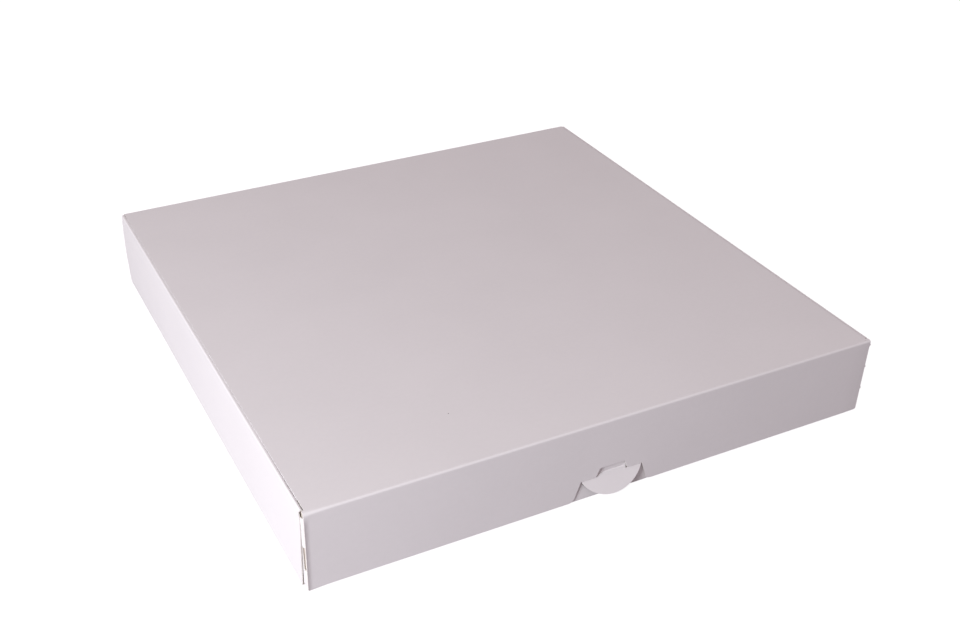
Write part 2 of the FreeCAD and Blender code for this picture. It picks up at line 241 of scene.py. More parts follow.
def add_node(nodes, kind, **settings):
    node = nodes.new(kind)
    for key, value in settings.items():
        setattr(node, key, value)
    return node


def feed(links, sockets, values):
    """Link a value that is a socket itself; write down one that is a plain number or color."""
    for socket, value in zip(sockets, values):
        if isinstance(value, bpy.types.NodeSocket):
            links.new(value, socket)
        else:
            socket.default_value = value


def scalar(nodes, links, operation, *values):
    """A Math node fed with numbers or sockets; gives its output socket."""
    node = add_node(nodes, "ShaderNodeMath", operation=operation)
    feed(links, node.inputs, values)
    return node.outputs[0]


# %% [markdown]
# ### The floor and the world
#
# The floor is a pale grey sheet that throws some light back up and takes the box's shadow. Its
# whiteness is added only for rays that see it directly. The world does the same: white to look at,
# and a soft fill for everything else.

# %% White seen by the camera, shadow kept
def seen_directly(nodes, links):
    """1 for rays that show the surface itself or its mirror image, 0 for the light it throws back."""
    path = add_node(nodes, "ShaderNodeLightPath")
    mirror = scalar(nodes, links, "MAXIMUM", path.outputs["Is Glossy Ray"],
                    path.outputs["Is Transmission Ray"])
    return scalar(nodes, links, "MAXIMUM", path.outputs["Is Camera Ray"], mirror)


WHITE = (1, 1, 1, 1)
FLOOR_WHITENESS = 0.93
FLOOR_COLOR = (0.30, 0.27, 0.295, 1)
FLOOR_SIZE, FLOOR_LEVEL = 8.0, -0.0002           # metres; a hair below the box's foot

floor_material, nodes, links = new_material("studio_floor")
output = add_node(nodes, "ShaderNodeOutputMaterial")
together = add_node(nodes, "ShaderNodeAddShader")
paper = add_node(nodes, "ShaderNodeBsdfDiffuse")
paper.inputs["Color"].default_value = FLOOR_COLOR
white = add_node(nodes, "ShaderNodeEmission")
white.inputs["Color"].default_value = WHITE
links.new(scalar(nodes, links, "MULTIPLY", seen_directly(nodes, links), FLOOR_WHITENESS),
          white.inputs["Strength"])
links.new(paper.outputs[0], together.inputs[0])
links.new(white.outputs[0], together.inputs[1])
links.new(together.outputs[0], output.inputs["Surface"])

bpy.ops.mesh.primitive_plane_add(size=FLOOR_SIZE, location=(0, 0, FLOOR_LEVEL))
floor = bpy.context.object
floor.name = "floor"
floor.data.materials.append(floor_material)
print("floor", FLOOR_SIZE, "m wide")

# %% World: white to look at, soft fill on the box
FILL = (1.0, 0.855, 0.875, 1)
FILL_STRENGTH = 0.41

world = bpy.data.worlds.new("studio")
world.use_nodes = True
bpy.context.scene.world = world
nodes, links = world.node_tree.nodes, world.node_tree.links
nodes.clear()
output = add_node(nodes, "ShaderNodeOutputWorld")
mix = add_node(nodes, "ShaderNodeMixShader")
fill = add_node(nodes, "ShaderNodeBackground")
fill.inputs["Color"].default_value = FILL
fill.inputs["Strength"].default_value = FILL_STRENGTH
white = add_node(nodes, "ShaderNodeBackground")
white.inputs["Color"].default_value = WHITE
links.new(seen_directly(nodes, links), mix.inputs[0])
links.new(fill.outputs[0], mix.inputs[1])
links.new(white.outputs[0], mix.inputs[2])
links.new(mix.outputs[0], output.inputs["Surface"])
print("fill strength", FILL_STRENGTH)


# %% The soft lamp
def soft_lamp(name, place, target, size, power, color):
    data = bpy.data.lights.new(name, "AREA")
    data.shape = "DISK"
    data.size = size
    data.energy = power
    data.color = color
    lamp = bpy.data.objects.new(name, data)
    bpy.context.scene.collection.objects.link(lamp)
    lamp.location = place
    aim = (Vector(target) - Vector(place)).to_track_quat("-Z", "Y")
    lamp.rotation_mode = "QUATERNION"
    lamp.rotation_quaternion = aim
    return lamp


key = soft_lamp("key", place=(-1.00, -0.575, 0.47), target=(0, 0, 0.03), size=0.38,
                power=12.2, color=(0.944, 0.964, 1.0))
bpy.context.scene.view_settings.view_transform = "Standard"
print(f"lamp {key.data.energy:.1f} W at", [round(v, 2) for v in key.location])

# %% [markdown]
# ## The board
#
# White folding boxboard has three faces worth showing: the coated outside, the bare inside and the cut
# edge. Each gets its own finish, made of noise at the sizes of the real thing: clouds in the coating a
# few centimetres wide, clumps of pulp of a millimetre or two, and single fibres. The patterns read
# object coordinates or the flat sheet's own map, so they are the same size everywhere and stay on the
# board when a panel turns. The coating's colour is the one in the part's record.

# %% Colours of the board
board_record = frame["record"]["materials"][0]
COATED = tuple(board_record["base_color"]) + (1,)
BARE = (0.72, 0.66, 0.60, 1)
BARE_FIBRE = (0.58, 0.51, 0.44, 1)
CORE = (0.90, 0.875, 0.845, 1)
CORE_SHADE = (0.78, 0.745, 0.70, 1)
SPECK = (0.12, 0.10, 0.10, 1)
SPECK_PLACE = Vector((-64.4, -114.8, TOP)) * MM
SPECK_CORE, SPECK_RIM = 0.18 * MM, 0.34 * MM     # dark inside, gone outside
print("coated board", [round(v, 2) for v in COATED[:3]])


# %% Helpers for patterns and finishes
def noise(nodes, links, coordinates, scale, detail=2.0, roughness=0.5):
    node = add_node(nodes, "ShaderNodeTexNoise")
    feed(links, [node.inputs[name] for name in ("Vector", "Scale", "Detail", "Roughness")],
         (coordinates, scale, detail, roughness))
    return node.outputs["Fac"]


def blend_colors(nodes, links, factor, first, second):
    node = add_node(nodes, "ShaderNodeMix", data_type="RGBA")
    feed(links, (node.inputs[0], node.inputs[6], node.inputs[7]), (factor, first, second))
    return node.outputs[2]


def span(nodes, links, value, *, low, high, to_low=0.0, to_high=1.0):
    """A value from low to high, stretched to run from to_low to to_high."""
    node = add_node(nodes, "ShaderNodeMapRange", clamp=True)
    feed(links, node.inputs[:5], (value, low, high, to_low, to_high))
    return node.outputs[0]


def both(nodes, links, first, second, share):
    """Two patterns together: a share of the first, and the rest of the second."""
    return scalar(nodes, links, "ADD", scalar(nodes, links, "MULTIPLY", first, share),
                  scalar(nodes, links, "MULTIPLY", second, 1 - share))


def bumps(nodes, links, height, strength, distance, normal=None):
    node = add_node(nodes, "ShaderNodeBump")
    feed(links, [node.inputs[name] for name in ("Strength", "Distance", "Height")],
         (strength, distance, height))
    if normal is not None:
        links.new(normal, node.inputs["Normal"])
    return node.outputs[0]


def paint(nodes, links, color, *, roughness, gloss, normal):
    """The surface itself: one Principled shader on the material's output."""
    shader = add_node(nodes, "ShaderNodeBsdfPrincipled")
    feed(links, [shader.inputs[name] for name in
                 ("Base Color", "Roughness", "Specular IOR Level", "Normal")],
         (color, roughness, gloss, normal))
    output = add_node(nodes, "ShaderNodeOutputMaterial")
    links.new(shader.outputs[0], output.inputs["Surface"])


# %% [markdown]
# ### The coated outside
#
# Clay coating is smooth and faintly mauve, with only a trace of the fibres underneath. Tone and bumps
# stay very low, because a stronger pattern would turn board into plaster. One dark speck lies on the
# lid, as dust does on white board.


# %% Coated face
TONE = 0.012        # how much lighter and darker the clouds are


def make_coated_board():
    material, nodes, links = new_material("coated_board")
    place = add_node(nodes, "ShaderNodeTexCoord").outputs["Object"]

    clouds = noise(nodes, links, place, scale=22.0, detail=3.0)
    formation = noise(nodes, links, place, scale=420.0, detail=4.0, roughness=0.6)
    tone = both(nodes, links, clouds, formation, share=0.6)
    shade = tuple(channel * (1 - TONE) for channel in COATED[:3]) + (1,)
    tint = tuple(channel * (1 + TONE) for channel in COATED[:3]) + (1,)
    color = blend_colors(nodes, links, span(nodes, links, tone, low=0.36, high=0.64),
                         shade, tint)

    away = add_node(nodes, "ShaderNodeVectorMath", operation="DISTANCE")
    links.new(place, away.inputs[0])
    away.inputs[1].default_value = SPECK_PLACE
    dirt = span(nodes, links, away.outputs["Value"], low=SPECK_CORE, high=SPECK_RIM,
                to_low=1.0, to_high=0.0)
    color = blend_colors(nodes, links, dirt, color, SPECK)

    sheen = span(nodes, links, formation, low=0.3, high=0.7, to_low=0.40, to_high=0.52)
    fibres = noise(nodes, links, place, scale=1900.0, detail=3.0, roughness=0.65)
    waves = bumps(nodes, links, formation, strength=0.10, distance=0.10 * MM)
    normal = bumps(nodes, links, fibres, strength=0.12, distance=0.03 * MM, normal=waves)
    paint(nodes, links, color, roughness=sheen, gloss=0.02, normal=normal)
    return material


# %% [markdown]
# ### The bare inside
#
# The reverse of the board is cream and matt. Its fibres lie along the sheet as the machine made it, so
# the noise is stretched one way, and it is read from the flat sheet's map: where a panel is folded,
# the fibres fold with it.


# %% Bare face, on the inside of the box
STRANDS = (900.0, 190.0, 1.0)       # strands per metre, across and along
STRANDS_TURN = 0.2                  # radians off the sheet's own way


def make_bare_board():
    material, nodes, links = new_material("bare_board")
    sheet = add_node(nodes, "ShaderNodeUVMap", uv_map="flat_sheet").outputs["UV"]
    along = add_node(nodes, "ShaderNodeMapping")
    feed(links, [along.inputs[name] for name in ("Vector", "Scale", "Rotation")],
         (sheet, STRANDS, (0, 0, STRANDS_TURN)))
    strands = noise(nodes, links, along.outputs[0], scale=1.0, detail=4.0, roughness=0.7)
    pulp = noise(nodes, links, sheet, scale=60.0, detail=5.0, roughness=0.6)
    mixed = both(nodes, links, strands, pulp, share=0.55)
    color = blend_colors(nodes, links, span(nodes, links, mixed, low=0.40, high=0.66, to_high=0.65),
                         BARE, BARE_FIBRE)
    normal = bumps(nodes, links, strands, strength=0.25, distance=0.06 * MM)
    paint(nodes, links, color, roughness=0.92, gloss=0.2, normal=normal)
    return material


# %% [markdown]
# ### The cut edge
#
# A die tears the last fibres, so the edge is matt and frayed, a little greyer where the core shows.


# %% Cut edge
def make_cut_edge():
    material, nodes, links = new_material("cut_edge")
    place = add_node(nodes, "ShaderNodeTexCoord").outputs["Object"]
    frayed = noise(nodes, links, place, scale=2600.0, detail=3.0, roughness=0.7)
    patches = noise(nodes, links, place, scale=160.0)
    mixed = both(nodes, links, frayed, patches, share=0.5)
    color = blend_colors(nodes, links, span(nodes, links, mixed, low=0.38, high=0.62),
                         CORE, CORE_SHADE)
    normal = bumps(nodes, links, frayed, strength=0.3, distance=0.05 * MM)
    paint(nodes, links, color, roughness=0.9, gloss=0.2, normal=normal)
    return material


coated_board = make_coated_board()
bare_board = make_bare_board()
cut_edge = make_cut_edge()
print("finishes:", coated_board.name, bare_board.name, cut_edge.name)

# %% [markdown]
# ## Cutting the board
#
# A die cuts the outline and the slots, and presses the creases. Here a constrained Delaunay
# triangulation is the die: it is given the outline, the holes and the crease lines, and it returns a
# flat mesh whose edges follow all of them. Each crease is drawn as a bundle of close parallel lines, so
# that there are enough edges for a round bend. The flat place of every point is stored on the mesh,
# both for the folding and as the map that the fibres follow.

# %% Drawing helpers, in millimetres on the flat sheet
STEP = 7.0          # longest edge in a flat panel
BEND_PARTS = 7      # edges round a quarter bend
BESIDE = 0.35       # one more line this far on each side of a bend
SLIVER = 0.004      # thinner triangles along the outline are dropped
WELD = 1e-4         # points nearer than this become one


def arc_points(centre, radius, start, finish, parts):
    """Points along an arc, angles in degrees, both ends included."""
    angles = [math.radians(start + (finish - start) * i / parts) for i in range(parts + 1)]
    return [(centre[0] + radius * math.cos(a), centre[1] + radius * math.sin(a)) for a in angles]


def both_sides(right_half):
    """A closed outline from its right half, drawn from the lowest point to the highest."""
    return right_half + [(-x, v) for x, v in reversed(right_half)]


def crease_lines(corner, bend, low, high, across, turn=QUARTER):
    """The bundle of lines of one crease, running from low to high. across: it lies at a distance X."""
    start = corner - bend * math.tan(turn / 2)
    length = bend * turn
    places = [start + length * i / BEND_PARTS for i in range(BEND_PARTS + 1)]
    places += [start - BESIDE, start + length + BESIDE]
    if across:
        return [((side * p, low), (side * p, high)) for p in places for side in (1, -1)]
    return [((low, p), (high, p)) for p in places]


# %% Helpers of the die
def split(start, finish):
    parts = max(1, math.ceil(math.dist(start, finish) / STEP))
    return [tuple(a + (b - a) * i / parts for a, b in zip(start, finish)) for i in range(parts + 1)]


def inside(points, loop):
    """Which points lie inside a closed loop, by counting the edges that a ray crosses."""
    result = np.zeros(len(points), bool)
    x, y = points[:, 0], points[:, 1]
    for (ax, ay), (bx, by) in zip(loop, loop[1:] + loop[:1]):
        spans = (ay > y) != (by > y)
        crossing = (bx - ax) * (y - ay) / (by - ay if by != ay else 1e-12) + ax
        result ^= spans & (x < crossing)
    return result


def store(mesh, name, values, kind="FLOAT"):
    """Keep a value for each point of a mesh."""
    attribute = mesh.attributes.new(name, kind, "POINT")
    attribute.data.foreach_set("vector" if kind == "FLOAT_VECTOR" else "value",
                               np.asarray(values, np.float32).ravel())


def flat_mesh(name, flat, faces):
    """The mesh of a flat sheet, with its own map and each point's flat place on it."""
    mesh = bpy.data.meshes.new(name)
    mesh.from_pydata([(x * MM, v * MM, 0) for x, v in flat], [], faces.tolist())
    store(mesh, "flat", np.c_[flat * MM, np.zeros(len(flat))], "FLOAT_VECTOR")
    chart = mesh.uv_layers.new(name="flat_sheet")
    corners = np.zeros(len(mesh.loops), int)
    mesh.loops.foreach_get("vertex_index", corners)
    chart.data.foreach_set("uv", (flat[corners] * MM + 0.5).astype(np.float32).ravel())
    return mesh


# %% The die: outline, holes and creases in, flat board out
def cut_board(name, outline, holes=(), creases=()):
    """One layer of board, flat, coated face down."""
    points, edges = [], []

    def draw(path):
        first = len(points)
        points.extend(path)
        edges.extend((first + i, first + i + 1) for i in range(len(path) - 1))

    for loop in (outline, *holes):
        for start, finish in zip(loop, loop[1:] + loop[:1]):
            draw(split(start, finish))
    for start, finish in creases:
        draw(split(start, finish))
    low, high = np.min(outline, 0), np.max(outline, 0)
    grid = np.stack(np.meshgrid(np.arange(low[0] + STEP / 2, high[0], STEP),
                                np.arange(low[1] + STEP / 2, high[1], STEP)), -1).reshape(-1, 2)
    points.extend(map(tuple, grid[inside(grid, outline)]))
    found = delaunay_2d_cdt([Vector(p) for p in points], edges, [], 0, WELD, False)
    flat = np.array([tuple(p) for p in found[0]])
    faces = np.array(found[2])
    middle = flat[faces].mean(1)
    keep = inside(middle, outline)
    for hole in holes:
        keep &= ~inside(middle, hole)
    faces = faces[keep]
    a, b, c = (flat[faces[:, i]] for i in range(3))
    turn = (b[:, 0] - a[:, 0]) * (c[:, 1] - a[:, 1]) - (b[:, 1] - a[:, 1]) * (c[:, 0] - a[:, 0])
    longest = np.max([np.hypot(*(p - q).T) for p, q in ((a, b), (b, c), (c, a))], 0)
    whole = np.abs(turn) > SLIVER * longest
    faces = np.where((turn > 0)[:, None], faces[:, ::-1], faces)[whole]
    used, faces = np.unique(faces, return_inverse=True)
    flat = flat[used]
    board = bpy.data.objects.new(name, flat_mesh(name, flat, faces.reshape(-1, 3)))
    bpy.context.scene.collection.objects.link(board)
    print(f"{name}: {len(board.data.polygons)} faces on the flat")
    return board, flat


# %% [markdown]
# ## The folding tree
#
# All folds follow one rule, so it is one node group, used once for each crease. A point before the
# crease stays. A point in the bend turns about the bend's centre by its distance along the bend over
# the radius. A point beyond turns by the whole angle. Folding starts at the crease furthest out, so
# that each later fold carries everything beyond it along, as it does in the hand.


# %% Helpers for Geometry Nodes trees
def new_tree(name, inputs):
    """An empty tree that takes and gives geometry, with its other inputs, and its two ends."""
    tree = bpy.data.node_groups.new(name, "GeometryNodeTree")
    for socket, kind in [("Geometry", "Geometry"), *inputs]:
        tree.interface.new_socket(socket, in_out="INPUT", socket_type="NodeSocket" + kind)
    tree.interface.new_socket("Geometry", in_out="OUTPUT", socket_type="NodeSocketGeometry")
    return tree, tree.nodes.new("NodeGroupInput").outputs, tree.nodes.new("NodeGroupOutput").inputs


def stored(nodes, name, kind="FLOAT"):
    """A value that is stored on the mesh under this name."""
    node = add_node(nodes, "GeometryNodeInputNamedAttribute", data_type=kind)
    node.inputs["Name"].default_value = name
    return node.outputs[0]


# %% Fold group: one crease
def make_fold_group():
    tree, given, result = new_tree("fold_one_crease", (
        ("Panel", "Float"), ("Towards", "Vector"), ("Inwards", "Vector"),
        ("Corner", "Float"), ("Radius", "Float"), ("Angle", "Float")))
    nodes, links = tree.nodes, tree.links

    def vector(operation, *values):
        node = add_node(nodes, "ShaderNodeVectorMath", operation=operation)
        feed(links, [s for s in node.inputs if s.enabled], values)
        return node.outputs["Value"] if operation == "DOT_PRODUCT" else node.outputs["Vector"]

    flat = stored(nodes, "flat", "FLOAT_VECTOR")
    towards, inwards = given["Towards"], given["Inwards"]
    radius, angle = given["Radius"], given["Angle"]
    half = scalar(nodes, links, "TANGENT", scalar(nodes, links, "MULTIPLY", angle, 0.5))
    start = scalar(nodes, links, "SUBTRACT", given["Corner"],
                   scalar(nodes, links, "MULTIPLY", radius, half))
    past = scalar(nodes, links, "SUBTRACT", vector("DOT_PRODUCT", flat, towards), start)
    turned = scalar(nodes, links, "MINIMUM", scalar(nodes, links, "DIVIDE", past, radius), angle)
    turned = scalar(nodes, links, "MAXIMUM", turned, 0.0)
    used = scalar(nodes, links, "MULTIPLY", turned, radius)
    position = nodes.new("GeometryNodeInputPosition").outputs[0]
    pulled = vector("SUBTRACT", position, vector("SCALE", towards, used))
    centre = vector("ADD", vector("SCALE", towards, start), vector("SCALE", inwards, radius))
    rotate = add_node(nodes, "ShaderNodeVectorRotate", rotation_type="AXIS_ANGLE")
    feed(links, [rotate.inputs[name] for name in ("Vector", "Center", "Axis", "Angle")],
         (pulled, centre, vector("CROSS_PRODUCT", towards, inwards), turned))
    beyond = scalar(nodes, links, "GREATER_THAN", given["Panel"], 0.5)
    move = nodes.new("GeometryNodeSetPosition")
    feed(links, [move.inputs[name] for name in ("Geometry", "Selection", "Position")],
         (given["Geometry"], beyond, rotate.outputs[0]))
    links.new(move.outputs[0], result["Geometry"])
    return tree


fold_group = make_fold_group()

# %% The creases, from the furthest out to the base
TAB_CREASE, TAB_TILT = 12.45, math.radians(24.1)   # the lock tab's crease and its lean

# name, panel that it moves, way across the sheet, corner, radius, angle
CREASES = [
    ("Lock Tab", "lock_tab", "V", on_front_wall(TAB_CREASE), TAB_BEND, TAB_TILT),
    ("Inner Wall", "side_wall", "X", INNER_CORNER, INNER_BEND, QUARTER - SIDE_LEAN),
    ("Roll Over", "side_wall", "X", ROLL_CORNER, ROLL_BEND, QUARTER),
    ("Side Wall", "side_wall", "X", SIDE_CORNER, BASE_BEND, QUARTER + SIDE_LEAN),
    ("Ear", "ear", "X", EAR_CORNER, EAR_BEND, QUARTER),
    ("Dust Flap", "dust_flap", "X", DUST_CORNER, DUST_BEND, QUARTER),
    ("Front Flap", "strip", "V", LID_CORNER, FRONT_BEND, QUARTER + LEAN),
    ("Lid", "strip", "V", HINGE_CORNER, HINGE_BEND, QUARTER),
    ("Back Wall", "strip", "V", BACK_CORNER, BASE_BEND, QUARTER),
    ("Front Wall", "strip", "-V", FRONT_CORNER, BASE_BEND, QUARTER),
]


# %% [markdown]
# ### The whole folding
#
# The tree chains one fold group for each crease. Two things make it look folded by hand. A relief is
# stored on the sheet and goes in before the folds: the small bows and curls of real board. And two of
# the creases get rounder towards the front left corner, where nothing holds them tight.


# %% The whole folding: one fold group for each crease
WAYS = {"V": (0, 1, 0), "-V": (0, -1, 0)}
INWARDS, OUTWARDS = (0, 0, 1), (0, 0, -1)
SOFTER = {"Front Flap": "soft_front", "Inner Wall": "soft_side"}


def make_folding_tree():
    tree, given, result = new_tree("fold_the_board", (
        *((f"{crease} {size}", "Float") for crease, *_ in CREASES for size in ("Radius", "Angle")),
        ("Soft End", "Float"), ("Relief", "Float"), ("Finish", "Material")))
    nodes, links = tree.nodes, tree.links
    # A crease across the sheet folds its left half to the left, its right half to the right.
    place = nodes.new("ShaderNodeSeparateXYZ")
    links.new(stored(nodes, "flat", "FLOAT_VECTOR"), place.inputs[0])
    sideways = nodes.new("ShaderNodeCombineXYZ")
    links.new(scalar(nodes, links, "SIGN", place.outputs[0]), sideways.inputs[0])
    # Hand-folded board is never quite flat: its relief goes in first, and the folds carry it along.
    inward = nodes.new("ShaderNodeCombineXYZ")
    links.new(scalar(nodes, links, "MULTIPLY", stored(nodes, "relief"), given["Relief"]),
              inward.inputs[2])
    uneven = nodes.new("GeometryNodeSetPosition")
    links.new(given["Geometry"], uneven.inputs["Geometry"])
    links.new(inward.outputs[0], uneven.inputs["Offset"])
    flow = uneven.outputs[0]
    for crease, panel, way, corner, _, _ in CREASES:
        bend = given[f"{crease} Radius"]
        if crease in SOFTER:
            extra = scalar(nodes, links, "MULTIPLY", given["Soft End"], stored(nodes, SOFTER[crease]))
            bend = scalar(nodes, links, "ADD", bend, extra)
        fold = add_node(nodes, "GeometryNodeGroup", node_tree=fold_group, label=crease)
        names = ("Geometry", "Panel", "Towards", "Inwards", "Corner", "Radius", "Angle")
        feed(links, [fold.inputs[name] for name in names],
             (flow, stored(nodes, panel), sideways.outputs[0] if way == "X" else WAYS[way],
              OUTWARDS if crease == "Lock Tab" else INWARDS, corner * MM, bend,
              given[f"{crease} Angle"]))
        flow = fold.outputs["Geometry"]
    real = nodes.new("GeometryNodeRealizeInstances")
    painted = nodes.new("GeometryNodeSetMaterial")
    links.new(flow, real.inputs["Geometry"])
    links.new(real.outputs[0], painted.inputs["Geometry"])
    links.new(given["Finish"], painted.inputs["Material"])
    links.new(painted.outputs[0], result["Geometry"])
    return tree


folding_tree = make_folding_tree()
print("folding tree:", len(CREASES), "creases")


# %% Relief of the board, in millimetres towards the inside of the box
FLAP_LEFT, FLAP_RIGHT = -147.0, 146.9
CURL, CURL_WIDTH = 0.42, 2.4                     # the flap's left end curls out
TURN_IN, TURN_START, TURN_WIDTH = 0.22, 138, 9   # its right end turns in
FOLD_FADE = 5                                    # both grow over this height below the fold
SOFT_FOLD, SOFT_FADE = 0.6, 5                    # extra radius at the lid's left end, and its reach


def ease(value, low, high):
    """0 below low, 1 above high, smooth between."""
    t = np.clip((value - low) / (high - low), 0, 1)
    return t * t * (3 - 2 * t)


def mark_strip(mesh, flat):
    """What lid, front flap and their folds share: the long strip's folds, its relief, its soft end."""
    x, below = flat[:, 0], flat[:, 1] - LID_CORNER
    left = np.clip((FLAP_LEFT + CURL_WIDTH - x) / CURL_WIDTH, 0, 1)
    right = np.clip((x - TURN_START) / TURN_WIDTH, 0, 1)
    grown = ease(below, 0, FOLD_FADE)
    store(mesh, "strip", np.ones(len(flat)))
    store(mesh, "relief", grown * (TURN_IN * right ** 2 - CURL * left ** 2))
    store(mesh, "soft_front", SOFT_FOLD * np.exp(-((x + LID_HALF) / SOFT_FADE) ** 2))


# %% [markdown]
# ### From sheet to board
#
# The folded sheet is only the coated face. Solidify adds the thickness towards the inside of every
# fold, and marks the reverse and the rim, so that they get the other two finishes.


# %% Fold a board, and give it its thickness
SHARP = math.radians(38)
MARKS = {"flat", "relief", *SOFTER.values(), *(panel for _, panel, *_ in CREASES)}


def baked(board):
    """The object's evaluated mesh as a plain mesh, with its modifiers removed."""
    bpy.context.view_layer.update()
    depsgraph = bpy.context.evaluated_depsgraph_get()
    mesh = bpy.data.meshes.new_from_object(board.evaluated_get(depsgraph),
                                           preserve_all_data_layers=True, depsgraph=depsgraph)
    mesh.name = board.name
    board.modifiers.clear()
    board.data = mesh
    return mesh


def fold_board(board):
    modifier = board.modifiers.new("fold", "NODES")
    modifier.node_group = folding_tree
    settings = {"Soft End": MM, "Relief": MM, "Finish": coated_board}
    for crease, _, _, _, radius, angle in CREASES:
        settings |= {f"{crease} Radius": radius * MM, f"{crease} Angle": angle}
    for item in folding_tree.interface.items_tree:
        if item.name in settings:
            modifier[item.identifier] = settings[item.name]
    mesh = baked(board)
    for finish in (bare_board, cut_edge):
        mesh.materials.append(finish)
    thickness = board.modifiers.new("thickness", "SOLIDIFY")
    thickness.thickness = BOARD * MM
    thickness.offset = -1
    thickness.use_even_offset = True
    thickness.material_offset = 1
    thickness.material_offset_rim = 2
    mesh = baked(board)
    for name in [attribute.name for attribute in mesh.attributes if attribute.name in MARKS]:
        mesh.attributes.remove(mesh.attributes[name])
    mesh.polygons.foreach_set("use_smooth", np.ones(len(mesh.polygons), bool))
    mesh.set_sharp_from_angle(angle=SHARP)


def finish_board(board, body, *nodes_replaced):
    if nodes_replaced:
        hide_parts(*nodes_replaced)
    if body:
        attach(board, body)
    low = np.min([v.co for v in board.data.vertices], 0) / MM
    high = np.max([v.co for v in board.data.vertices], 0) / MM
    print(board.name, "from", low.round(2), "to", high.round(2))
    return board


# %% [markdown]
# ## The tray
#
# Base, front wall, back wall, two side walls that roll over into an inner wall, and four ears. Under
# each inner wall two small tabs stand in slots of the base and hold the wall down. The ears lie in the
# hollow of the side walls, and each ear's crease has a slot so that the stiff corner can turn. The side
# walls end a few millimetres short of the corner, where the ear shows as a white strip beside the flap.

# %% Outline of the tray's blank
EAR_LOW, EAR_HIGH, EAR_REACH, EAR_TAPER = 0.9, TOP - 4.2, 58.0, 12.0
WALL_TOP = TOP - BOARD - 0.2                     # the front wall ends just under the lid
BACK_SEAM = TOP - 3.0                            # where the tray ends and the back fold begins
END_WIDTH = 146.0                                # half the straight length of front and back wall
SETBACK_FOOT, SETBACK_TOP = 4.5, 1.4             # a side wall's end, back from the corner
WALL_END_FOOT = 0.65
CREST = 5.0                                      # the end leans up to this far below the rim
CREST_STEP = ((2.0, 1.2), (1.4, 1.0))            # then steps back: below the rim, behind its end
STRIP_PAST = 0.5                                 # the roll-over's strip ends past the inner crease
INNER_END = HALF_DEPTH - 2 * BOARD - 0.42
TAB_FOOT = 0.1
BASE_TABS = ((-90.0, -60.0), (60.0, 90.0))


def wall_end(z):
    """Where the side wall ends, at a height: it leans back towards the ground."""
    return HALF_DEPTH - SETBACK_FOOT + (SETBACK_FOOT - SETBACK_TOP) * z / TOP


def ear_outline(place):
    tip = on_ear(EAR_REACH)
    return [(tip - EAR_TAPER, place(EAR_LOW)), (tip, place(EAR_LOW + EAR_TAPER)),
            (tip, place(EAR_HIGH - EAR_TAPER)), (tip - EAR_TAPER, place(EAR_HIGH))]


def side_wall_outline():
    foot, tip = on_inner_wall(INNER_FOOT), on_inner_wall(TAB_FOOT)
    shoulder = on_side_wall(WALL_LEVEL - ROLL_BEND)
    strip = INNER_CORNER + STRIP_PAST
    crest = -wall_end(TOP)
    front = [(on_side_wall(z), -wall_end(z)) for z in (WALL_END_FOOT, TOP - CREST)]
    front += [(on_side_wall(TOP - down), crest + behind) for down, behind in CREST_STEP]
    front += [(shoulder, crest), (strip, crest), (strip, -INNER_END), (foot, -INNER_END)]
    back = [(x, -v) for x, v in reversed(front)]
    tabs = [p for low, high in BASE_TABS for p in ((foot, low), (tip, low), (tip, high), (foot, high))]
    return front + tabs + back


tray_right = [
    (END_WIDTH, on_front_wall(WALL_TOP)),
    (END_WIDTH, on_front_wall(EAR_HIGH)),
    *reversed(ear_outline(on_front_wall)),
    (END_WIDTH, on_front_wall(EAR_LOW)),
    (END_WIDTH, -wall_end(0)),
    *side_wall_outline(),
    (END_WIDTH, wall_end(0)),
    (END_WIDTH, on_back_wall(EAR_LOW)),
    *ear_outline(on_back_wall),
    (END_WIDTH, on_back_wall(EAR_HIGH)),
    (END_WIDTH, on_back_wall(BACK_SEAM)),
]
tray_outline = both_sides(tray_right)
print("tray blank:", len(tray_outline), "corners")

# %% Slots in the base and in the ears' creases
SLOT_LOW, SLOT_HIGH = 10.1, 22.6                 # an ear's slot, above the floor
SLOT_NEAR, SLOT_FAR = 0.6, 2.2                   # and across the ear's crease
SLOT_PLAY = 0.6


def box_loop(x0, x1, v0, v1):
    return [(x0, v0), (x1, v0), (x1, v1), (x0, v1)]


slots = []
for side in (1, -1):
    for low, high in BASE_TABS:
        slots.append(box_loop(side * (INNER_FACE - PLAY), side * (INNER_FACE + BOARD + PLAY),
                              low - SLOT_PLAY, high + SLOT_PLAY))
    for place in (on_front_wall, on_back_wall):
        slots.append(box_loop(side * (END_WIDTH - SLOT_NEAR), side * on_ear(SLOT_FAR),
                              place(SLOT_LOW), place(SLOT_HIGH)))
print("slots:", len(slots))

# %% [markdown]
# ### The lock tab
#
# A mushroom-shaped tongue is cut free of the front wall except across its neck, and bent out along a
# pressed groove. Its head pokes through the front flap's cut-out, and its two shoulders catch the flap
# above it. The cut is drawn as a hair-thin slot round the tab, so the tongue stays part of the wall.

# %% Outline of the lock tab
TAB_LENGTH, TAB_MIDDLE = 11.48, 1.4
NECK_HALF, NECK_LENGTH, HEAD_HALF = 7.6, 1.58, 16.2
HEAD_PARTS = 26     # edges round the head
KERF = 0.06         # width of the cut round the tab
GROOVE_DEPTH, GROOVE_HALF = 0.30, 0.2


